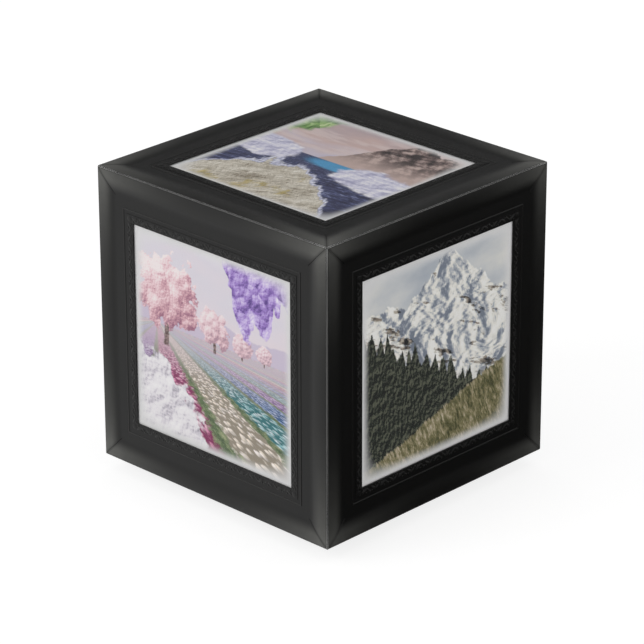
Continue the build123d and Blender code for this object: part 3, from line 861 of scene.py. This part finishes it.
def snow_peaks(art, x, y):
    """A snowy mountain close by, over dark pines and a dry meadow."""
    cloud = art.clouds(x, y * 1.8, 1.0, 1.4, detail=6)
    art.tone = art.ramp(
        cloud * 0.9 + y * 0.1,
        (0.34, (0.80, 0.79, 0.75)), (0.52, (0.62, 0.64, 0.66)), (0.72, (0.40, 0.45, 0.52)),
    )
    crags = art.clouds(x, 0.0, 4.0, 2.4, detail=9, rough=0.62)
    ridge = crags * 0.62 + 0.66 - abs(x - 0.16) * 0.72
    shoulder = crags * 0.5 + 0.42 - abs(x + 0.66) * 0.45
    top = ridge.math("MAXIMUM", shoulder)
    skew = x * 0.9 + y * 0.75
    dip = y * 0.85 - x * 0.55
    fall, lit = art.relief(skew, dip, 2.0, 2.1, step=0.035, strength=5.5, detail=11, rough=0.60, bend=0.35)
    snow = art.ramp(
        lit,
        (0.22, (0.20, 0.23, 0.29)), (0.38, (0.46, 0.49, 0.54)), (0.50, (0.74, 0.73, 0.70)),
        (0.60, (0.88, 0.86, 0.80)), (0.8, (0.94, 0.93, 0.90)),
    )
    rock = art.ramp(
        lit,
        (0.28, (0.010, 0.010, 0.012)), (0.46, (0.085, 0.075, 0.068)),
        (0.62, (0.30, 0.25, 0.20)), (0.8, (0.50, 0.45, 0.38)),
    )
    strata = art.clouds(x * 0.7, y * 2.4 + x * 0.8, 6.0, 4.2, detail=8, rough=0.66)
    bare = (strata * 0.55 + fall * 0.45 - y * 0.06).above(0.545, 0.012)
    art.fill(art.over(snow, rock, bare), top, 0.008)
    mist = (y + 0.28 + x * 0.35).hump(0.0, 0.26) * art.clouds(x, y * 3, 5.0, 2.2, detail=5)
    art.lay((0.74, 0.74, 0.72), mist * 0.9)
    for row, (base, height, count) in enumerate(((-0.30, 0.17, 8.3), (-0.55, 0.26, 5.1))):
        jitter = art.clouds(x, 0.0, 20.0 + row, 2.7 + row, detail=3)
        spire = abs((x * count + jitter * 3.4).math("FRACT") - 0.5) * 2
        needles = art.clouds(x * 2.2, y, 30.0 + row, 26, detail=3, rough=0.7) * 0.15
        slope = (0.12 - x).math("MAXIMUM", -0.5) * 0.55
        line = jitter * 0.62 + (1 - spire) * height + needles + slope + (base - 0.34)
        _, glint = art.relief(x * 1.4, y, 40.0 + row, 13, step=0.02, strength=3.0, detail=5, rough=0.7)
        pine = art.ramp(
            glint + (1 - row) * 0.04,
            (0.40, (0.008, 0.010, 0.008)), (0.56, (0.032, 0.040, 0.028)), (0.74, (0.125, 0.132, 0.090)),
        )
        art.fill(pine, line, 0.010)
    swell = art.clouds(x, 0.0, 50.0, 1.1, detail=3) * 0.24 - 0.80 + x * 0.30
    blades = art.clouds(x * 4 + y * 1.6, y * 0.9 - x * 0.5, 3.0, 8.5, detail=8, rough=0.75)
    clump = art.clouds(x, y, 52.0, 3.2, detail=4)
    grass = art.ramp(
        blades * 0.7 + clump * 0.3,
        (0.34, (0.012, 0.014, 0.007)), (0.44, (0.085, 0.085, 0.03)), (0.52, (0.26, 0.23, 0.11)),
        (0.58, (0.52, 0.44, 0.31)), (0.70, (0.80, 0.74, 0.64)),
    )
    edge = blades * 0.16
    art.fill(grass, swell + edge, 0.012)


def sea_shore(art, x, y):
    """A sandbank in a dark blue bay, with a headland, a hazy evening sky and leaves close by."""
    horizon = 0.12
    cloud = art.clouds(x, y * 2.2, 4.0, 1.7, detail=6)
    art.tone = art.ramp(
        y * 0.42 + cloud * 0.55 - x * 0.10,
        (0.26, (0.46, 0.46, 0.64)), (0.40, (0.62, 0.55, 0.62)), (0.54, (0.62, 0.46, 0.43)), (0.74, (0.50, 0.40, 0.42)),
    )
    spread = art.clouds(x * 0.8, y * 3.4, 6.0, 2.4, detail=6).above(0.55, 0.07)
    art.lay((0.74, 0.62, 0.60), spread * 0.6)
    crags = art.clouds(x, 0.0, 8.0, 2.6, detail=8)
    _, lit = art.relief(
        x * 0.9 + y * 0.5, y * 0.8 - x * 0.3, 8.5, 2.6, step=0.04, strength=4.2, detail=10, rough=0.60
    )
    cliff = art.ramp(
        lit,
        (0.26, (0.035, 0.024, 0.024)), (0.44, (0.12, 0.085, 0.080)),
        (0.58, (0.26, 0.19, 0.175)), (0.80, (0.56, 0.44, 0.40)),
    )
    cape = crags * 0.75 - 0.30 + x.step(-0.28, 0.42) * 0.92 - x.step(0.55, 1.1) * 0.22
    cliff = art.over(cliff, (0.58, 0.44, 0.40), (1 - (y - crags * 0.3).step(0.0, 0.52)) * 0.92)
    art.fill(cliff, cape, 0.010)
    near = 1 / (horizon + 0.10 - y).math("MAXIMUM", 0.06)
    _, lit = art.relief(x * near * 0.8, near * 2.6, 1.0, 2.6, step=0.05, strength=2.4, detail=7, rough=0.62)
    water = art.ramp(
        lit,
        (0.26, (0.014, 0.016, 0.050)), (0.50, (0.036, 0.040, 0.105)),
        (0.68, (0.095, 0.115, 0.25)), (0.90, (0.46, 0.50, 0.66)),
    )
    shallows = (y - 0.045).hump(0.0, 0.13) * (x - 0.22).hump(0.0, 0.62)
    water = art.over(water, art.shaded((0.10, 0.42, 0.74), lit * 0.6 + 0.5), shallows.step(0.02, 0.45) * 0.95)
    art.fill(water, horizon, 0.006)
    froth, lit = art.relief(x * 1.2, y * 2.6, 5.0, 4.2, step=0.02, strength=3.0, detail=8, rough=0.68)
    surf = art.ramp(lit, (0.26, (0.34, 0.35, 0.52)), (0.50, (0.62, 0.63, 0.78)), (0.74, (0.90, 0.90, 0.93)))
    bank, puff = art.relief(x * 0.8, y * 1.4, 15.0, 3.2, step=0.03, strength=2.6, detail=7, rough=0.58)
    mist = art.ramp(puff, (0.28, (0.40, 0.39, 0.56)), (0.48, (0.64, 0.63, 0.77)), (0.70, (0.88, 0.86, 0.90)))
    mist_bank = (y - 0.01 + x * 0.05).hump(0.0, 0.40) * (abs(x + 0.08).step(0.05, 0.60) * 1.1) + (bank - 0.5)
    ragged = art.clouds(x, y * 0.5, 3.0, 2.4, detail=8, rough=0.6) * 0.95
    mound = ragged - 0.66 - (x + 0.10) * (x + 0.10) * 0.80
    _, big = art.relief(x * 0.9 + y * 0.3, y * 1.6 - x * 0.2, 16.0, 2.0, step=0.06, strength=2.6, detail=3)
    _, small = art.relief(
        x + y * 0.3, y * 2.4 - x * 0.4, 6.0, 8.5, step=0.014, strength=2.8, detail=8, rough=0.74, bend=0.6
    )
    sand = art.ramp(
        big * 0.45 + small * 0.55,
        (0.26, (0.20, 0.165, 0.12)), (0.42, (0.44, 0.39, 0.31)), (0.54, (0.62, 0.57, 0.48)),
        (0.68, (0.78, 0.74, 0.66)), (0.86, (0.90, 0.88, 0.83)),
    )
    rim = (y - mound).hump(0.03, 0.06) * (froth * 0.6 + 0.7)
    art.lay(surf, rim)
    art.fill(sand, mound, 0.010)
    art.lay(mist, mist_bank.above(0.46, 0.10))
    tufts = art.clouds(x * 5 - y * 2.2, y * 0.9, 21.0, 6, detail=7, rough=0.75)
    clump = art.clouds(x, y, 22.0, 2.6, detail=4) * 0.5 + tufts * 0.32
    reed = art.ramp(tufts, (0.38, (0.10, 0.075, 0.02)), (0.52, (0.42, 0.33, 0.10)), (0.66, (0.74, 0.62, 0.34)))
    art.lay(reed, clump.above(0.475, 0.02) * (mound - 0.10 - y).above(0, 0.05))
    rag = art.clouds(x, y, 9.0, 3.5, detail=4)
    away, pick, lit = art.clumps(x + y * 0.5, y * 0.7, 3.0, 8.0, rag * 0.4)
    _, glint = art.relief(x, y, 27.0, 15, step=0.014, strength=2.0, detail=5)
    leaves = art.ramp(
        lit * 0.45 + pick * 0.3 + glint * 0.25,
        (0.18, (0.030, 0.065, 0.018)), (0.40, (0.10, 0.22, 0.055)),
        (0.58, (0.28, 0.46, 0.16)), (0.80, (0.66, 0.76, 0.42)),
    )
    close = 1 - (reach(x, y, (-1.05, 0.98)) + rag * 0.5 + away * 0.12).above(0.80, 0.06)
    art.lay(leaves, close)


def autumn_lake(art, x, y):
    """Autumn trees and their reflection in a still lake."""
    shore = -0.14
    ripple = art.clouds(x * 0.8, y * 16, 2.0, 2.4, detail=4) * 0.14 - 0.07
    under = (shore - y).above(0, 0.004)
    high = abs(y - shore) + ripple * under * (shore - y).step(0.0, 0.3)
    side = x + ripple * under * 0.6
    cloud = art.clouds(side, high * 2, 1.0, 1.6, detail=7)
    art.tone = art.ramp(cloud, (0.36, (0.26, 0.42, 0.66)), (0.50, (0.52, 0.63, 0.76)), (0.62, (0.88, 0.87, 0.85)))
    _, lit = art.relief(side, high, 33.0, 2.4, step=0.04, strength=3.0, detail=8, rough=0.6)
    hill = art.clouds(side, 0.0, 3.0, 1.2, detail=6) * 0.8 + 0.20
    far = art.ramp(lit, (0.3, (0.07, 0.10, 0.16)), (0.5, (0.16, 0.20, 0.28)), (0.75, (0.38, 0.38, 0.42)))
    art.lay(far, (hill - high).above(0, 0.010))
    for row, (size, height) in enumerate(((8.0, 0.62), (5.5, 0.34))):
        wave = art.clouds(side, high, 6.0 + row, 3.6, detail=7, rough=0.6)
        away, pick, lit = art.clumps(side, high * 0.8, 5.0 + row, size, wave * 0.3)
        frill, glint = art.relief(side, high, 8.0 + row, 22, step=0.010, strength=2.6, detail=6, rough=0.72)
        crown = art.ramp(
            pick * 0.8 + frill * 0.2,
            (0.08, (0.42, 0.06, 0.012)), (0.28, (0.62, 0.20, 0.02)), (0.46, (0.76, 0.38, 0.04)),
            (0.64, (0.82, 0.58, 0.13)), (0.84, (0.18, 0.22, 0.04)),
        )
        crown = art.shaded(crown, lit * 0.7 + glint * 0.9 - 0.16)
        art.lay(crown, (wave * height + height * 0.12 - away * 0.07 - high).above(0, 0.012))
    art.lay((0.035, 0.035, 0.025), (1 - high.step(0.0, 0.045)) * 0.85)
    art.lay((0.07, 0.11, 0.17), under * 0.30)
    gleam = art.clouds(x * 0.9, y * 22, 12.0, 3.0, detail=4).above(0.66, 0.05) * under
    art.lay((0.72, 0.76, 0.80), gleam * 0.28)


def evening_poppies(art, x, y):
    """Poppies and tall grass against an evening sky."""
    cloud, lit = art.relief(x * 0.7, y * 2.6, 1.0, 1.7, step=0.08, strength=1.5, detail=8)
    sun = reach(x, y, (-0.32, 0.16))
    art.tone = art.ramp(
        y * 0.50 + 0.30 + lit * 0.16 + cloud * 0.10,
        (0.16, (0.92, 0.58, 0.26)), (0.40, (0.88, 0.44, 0.27)), (0.62, (0.54, 0.34, 0.42)), (0.88, (0.20, 0.24, 0.42)),
    )
    bank = art.ramp(lit, (0.3, (0.34, 0.22, 0.32)), (0.6, (0.86, 0.50, 0.38)), (0.85, (0.96, 0.78, 0.58)))
    art.lay(bank, cloud.above(0.54, 0.06) * (y + 0.2).step(0.0, 0.5) * 0.7)
    art.lay((0.98, 0.84, 0.56), (1 - sun.step(0.0, 0.60)) * 0.75)
    art.lay((1.0, 0.96, 0.84), 1 - sun.above(0.085, 0.012))
    for row, (level, tint) in enumerate(((-0.06, (0.42, 0.24, 0.26)), (-0.20, (0.17, 0.10, 0.13)))):
        hill = art.clouds(x, 0.0, 4.0 + row, 1.6 + row, detail=6) * 0.30 + level - 0.1
        art.fill(tint, hill, 0.010)
    blades = art.clouds(x * 6 + y * 0.9, y * 0.8, 2.0, 7, detail=8, rough=0.75)
    field = art.clouds(x * 4, 0.0, 5.0, 3.2, detail=7) * 0.46 - 0.50
    grass = art.ramp(
        blades,
        (0.36, (0.008, 0.014, 0.006)), (0.50, (0.05, 0.08, 0.02)),
        (0.60, (0.22, 0.23, 0.06)), (0.70, (0.66, 0.52, 0.22)),
    )
    art.fill(grass, field + blades * 0.1, 0.012)
    for row, (size, level) in enumerate(((8.5, -0.24), (4.3, -0.42))):
        frill, glint = art.relief(x, y, 13.0 + row, 3.4 * size, step=0.05 / size, strength=2.2, detail=4)
        away, pick, lit = art.clumps(x, y * 1.2, 11.0 + row, size, frill * 0.10)
        petal = art.ramp(
            away,
            (0.04, (0.012, 0.006, 0.008)), (0.13, (0.26, 0.010, 0.010)),
            (0.27, (0.66, 0.035, 0.018)), (0.44, (0.88, 0.20, 0.08)),
        )
        petal = art.shaded(petal, glint * 0.8 + lit * 0.4 + 0.35)
        seen = (1 - away.above(0.44, 0.015)) * pick.above(0.42, 0.01) * (level - y).above(0, 0.03)
        art.lay(petal, seen)


PICTURES = {
    "front": flower_rows, "right": snow_peaks, "back": autumn_lake, "left": evening_poppies, "top": sea_shore,
}


def picture_finish(face, colours, opening):
    """A satin photo print whose picture fades softly to white paper at its border."""
    art = Picture(face, opening)
    x, y = art.x, art.y
    PICTURES[face](art, x, y)
    inside = (1 - abs(x)) * (1 - abs(y)) * (1 / (2 - abs(x) - abs(y)).math("MAXIMUM", 0.02))
    waver = art.clouds(x, y, 60.0, 2.2, detail=2) * 0.03
    tone = art.over(colours.paper, art.tone, (inside + waver).step(0.025, 0.115))
    art.set(Base_Color=tone, Roughness=0.36, Specular_IOR_Level=0.2)
    return art.material


def dress(material, *nodes):
    """CAD nodes keep their shapes and get this finish."""
    for node in nodes:
        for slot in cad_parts[node].material_slots:
            slot.material = material


# Studio


def seen_by(nodes):
    """1 for rays that show the background: from the camera, and in gloss and glass."""
    path = nodes.put("ShaderNodeLightPath").outputs
    camera, gloss, glass = (
        Field(nodes, path[name]) for name in ("Is Camera Ray", "Is Glossy Ray", "Is Transmission Ray")
    )
    return camera.math("MAXIMUM", gloss).math("MAXIMUM", glass)


def soft_surround(scene, strength):
    """Even light from all round, and a white background where it is seen."""
    world = bpy.data.worlds.new("surround")
    scene.world = world
    world.use_nodes = True
    nodes = Nodes(world.node_tree)
    background = world.node_tree.nodes["Background"]
    nodes.feed(background.inputs["Color"], (1, 1, 1))
    nodes.feed(background.inputs["Strength"], seen_by(nodes) * (1 - strength) + strength)


def pale_floor():
    """A pale floor that reads white and keeps the cube's soft shadow."""
    bm = bmesh.new()
    bmesh.ops.create_circle(bm, cap_ends=True, segments=FLOOR_SIDES, radius=FLOOR_RADIUS)
    finish = Finish("floor_pale")
    finish.tree.nodes.remove(finish.shader)
    matt = finish.put("ShaderNodeBsdfDiffuse", {"Color": FLOOR_MATT})
    pale = finish.put("ShaderNodeBsdfDiffuse", {"Color": FLOOR_SEEN})
    glow = finish.put("ShaderNodeEmission", {"Color": (1, 1, 1), "Strength": FLOOR_GLOW})
    both = finish.put("ShaderNodeAddShader", {0: pale.outputs[0], 1: glow.outputs[0]})
    mixed = finish.put("ShaderNodeMixShader", {0: seen_by(finish), 1: matt.outputs[0], 2: both.outputs[0]})
    finish.feed(finish.tree.nodes["Material Output"].inputs["Surface"], mixed.outputs[0])
    floor = linked(bm, "floor", finish.material)


def gloss_card(name, size, place, turn, tone):
    """A studio card that is seen only in gloss, and keeps the face that mirrors it dark."""
    bm = bmesh.new()
    bmesh.ops.create_grid(bm, x_segments=1, y_segments=1, size=0.5)
    bmesh.ops.scale(bm, verts=bm.verts, vec=(*size, 1))
    bmesh.ops.transform(bm, matrix=Matrix.Translation(place) @ turn, verts=bm.verts)
    finish = Finish(name)
    finish.set(Base_Color=tone, Roughness=1.0, Specular_IOR_Level=0.0)
    card = linked(bm, name, finish.material)
    card.visible_camera = card.visible_diffuse = card.visible_shadow = card.visible_transmission = False


def soft_lamp(name, place, size, watts, glossy=True):
    """A large square lamp that looks at the cube and isn't seen itself."""
    lamp = bpy.data.lights.new(name, "AREA")
    lamp.size = size
    lamp.energy = watts
    holder = bpy.data.objects.new(name, lamp)
    holder.location = place
    holder.rotation_euler = (CUBE_MIDDLE - place).to_track_quat("-Z", "Y").to_euler()
    holder.visible_camera = False
    holder.visible_glossy = glossy
    bpy.context.scene.collection.objects.link(holder)


def place_camera(scene, studio):
    """The camera where the photograph was taken from."""
    turn, rise, roll = studio.azimuth, studio.elevation, studio.roll
    back = Vector((math.sin(turn) * math.cos(rise), -math.cos(turn) * math.cos(rise), math.sin(rise)))
    level = Vector((math.cos(turn), math.sin(turn), 0))
    upright = back.cross(level)
    right = math.cos(roll) * level + math.sin(roll) * upright
    above = math.cos(roll) * upright - math.sin(roll) * level
    lens = bpy.data.cameras.new("camera")
    lens.sensor_width = SENSOR_WIDTH
    lens.lens = studio.lens
    lens.clip_start = NEAREST_SEEN
    camera = bpy.data.objects.new("camera", lens)
    place = CUBE_MIDDLE + back * studio.distance + right * studio.aim_right + above * studio.aim_up
    turned = Matrix((right, above, back)).transposed().to_4x4()
    camera.matrix_world = Matrix.Translation(place) @ turned
    scene.collection.objects.link(camera)
    scene.camera = camera


# Operators


class CUBE_OT_mouldings(bpy.types.Operator):
    """Five mitred mouldings, one for each picture"""

    bl_idname = "photocube.mouldings"
    bl_label = "Mouldings"

    def execute(self, context):
        sizes, colours = context.scene.cube_moulding, context.scene.cube_colours
        material = moulding_finish(colours, sizes)
        for face in FACES:
            bm = mitred_ring(sizes)
            lay_rail_map(bm)
            bmesh.ops.transform(bm, matrix=face_matrix(face), verts=bm.verts)
            piece = finished(bm, f"moulding_{face}", material, f"{face}_frame", MOULDING_CREASE)
            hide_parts(f"frame_{face}")
        return {"FINISHED"}


class CUBE_OT_leaves(bpy.types.Operator):
    """The pressed leaves round each picture"""

    bl_idname = "photocube.leaves"
    bl_label = "Leaf bands"

    def execute(self, context):
        scene = context.scene
        material = leaf_finish(scene.cube_colours)
        for face in FACES:
            bm = leaf_ring(scene.cube_leaves, scene.cube_moulding)
            bmesh.ops.transform(bm, matrix=face_matrix(face), verts=bm.verts)
            piece = finished(bm, f"leaves_{face}", material, f"{face}_frame", LEAF_CREASE)
        return {"FINISHED"}


class CUBE_OT_prints(bpy.types.Operator):
    """The five pictures, their clear windows, backing boards and push-in pins"""

    bl_idname = "photocube.prints"
    bl_label = "Pictures and windows"

    def execute(self, context):
        colours = context.scene.cube_colours
        opening = half_opening(context.scene.cube_moulding)
        window, board = window_finish(), board_finish(colours)
        pins = plastic_finish("pin_black", colours.core, roughness=0.45)
        for face in FACES:
            dress(picture_finish(face, colours, opening), f"print_{face}")
            dress(window, f"window_{face}")
            dress(board, f"backing_{face}")
            dress(pins, f"pins_{face}")
        return {"FINISHED"}


class CUBE_OT_core(bpy.types.Operator):
    """The hollow core and the bottom panel that closes it"""

    bl_idname = "photocube.core"
    bl_label = "Core"

    def execute(self, context):
        colours = context.scene.cube_colours
        dress(plastic_finish("core_black", colours.core, roughness=0.55), "core_shell")
        dress(plastic_finish("panel_black", colours.core, roughness=0.50, grain=700), "bottom_panel")
        return {"FINISHED"}


class CUBE_OT_swivel(bpy.types.Operator):
    """The races, balls, cage, pivot and screws"""

    bl_idname = "photocube.swivel"
    bl_label = "Swivel"

    def execute(self, context):
        colours = context.scene.cube_colours
        race = turned_steel_finish("race_steel", colours.steel, roughness=0.30, rings=2200.0)
        ball = turned_steel_finish("ball_steel", colours.steel, roughness=0.13)
        turned = turned_steel_finish("fastener_steel", colours.steel, roughness=0.34, rings=3000.0)
        screw = turned_steel_finish("screw_steel", colours.steel, roughness=0.32)
        dress(race, "lower_race", "upper_race")
        dress(ball, "bearing_balls")
        dress(plastic_finish("cage_nylon", colours.cage, roughness=0.50), "ball_cage")
        dress(plastic_finish("bush_white", colours.bush, roughness=0.42), "pivot_bush")
        dress(turned, "pivot_bolt", "pivot_washer", "pivot_nut")
        dress(screw, "lower_race_screws", "upper_race_screws", "panel_screws")
        return {"FINISHED"}


class CUBE_OT_foot(bpy.types.Operator):
    """The foot plate, its rim and its rubber pads"""

    bl_idname = "photocube.foot"
    bl_label = "Foot"

    def execute(self, context):
        colours = context.scene.cube_colours
        dress(plastic_finish("foot_black", colours.foot, roughness=0.50), "foot_plate", "foot_rim")
        dress(rubber_finish(colours), "foot_pads")
        return {"FINISHED"}


class CUBE_OT_studio(bpy.types.Operator):
    """Pale floor, soft lamps and the camera"""

    bl_idname = "photocube.studio"
    bl_label = "Studio"

    def execute(self, context):
        studio = context.scene.cube_studio
        context.scene.view_settings.view_transform = "Standard"
        soft_surround(context.scene, studio.surround)
        pale_floor()
        for name, card in GLOSS_CARDS.items():
            gloss_card(name, *card)
        soft_lamp("key_lamp", KEY_PLACE, KEY_SIZE, studio.key)
        soft_lamp("fill_lamp", FILL_PLACE, FILL_SIZE, studio.fill, glossy=False)
        place_camera(context.scene, studio)
        return {"FINISHED"}


OPERATORS = (
    CUBE_OT_mouldings, CUBE_OT_leaves, CUBE_OT_prints, CUBE_OT_core, CUBE_OT_swivel, CUBE_OT_foot, CUBE_OT_studio,
)


class CUBE_PT_panel(bpy.types.Panel):
    """Lists the cube's pieces, with their sizes and colours"""

    bl_idname = "CUBE_PT_panel"
    bl_label = "Photo Cube"
    bl_space_type = "VIEW_3D"
    bl_region_type = "UI"
    bl_category = "Photo Cube"

    def draw(self, context):
        for operator in OPERATORS:
            self.layout.operator(operator.bl_idname)
        for name, group in SETTINGS.items():
            box = self.layout.box()
            box.label(text=group.__doc__)
            settings = getattr(context.scene, name)
            for key in group.__annotations__:
                box.prop(settings, key)


def register():
    """Adds the settings, operators and panel."""
    for group in (*SETTINGS.values(), *OPERATORS, CUBE_PT_panel):
        bpy.utils.register_class(group)
    for name, group in SETTINGS.items():
        setattr(bpy.types.Scene, name, bpy.props.PointerProperty(type=group))


def unregister():
    """Takes them out again."""
    for name in SETTINGS:
        delattr(bpy.types.Scene, name)
    for group in reversed((*SETTINGS.values(), *OPERATORS, CUBE_PT_panel)):
        bpy.utils.unregister_class(group)


def main():
    """Builds every piece in order."""
    register()
    bpy.ops.photocube.mouldings()
    bpy.ops.photocube.leaves()
    bpy.ops.photocube.prints()
    bpy.ops.photocube.core()
    bpy.ops.photocube.swivel()
    bpy.ops.photocube.foot()
    bpy.ops.photocube.studio()


if __name__ == "__main__":
    main()
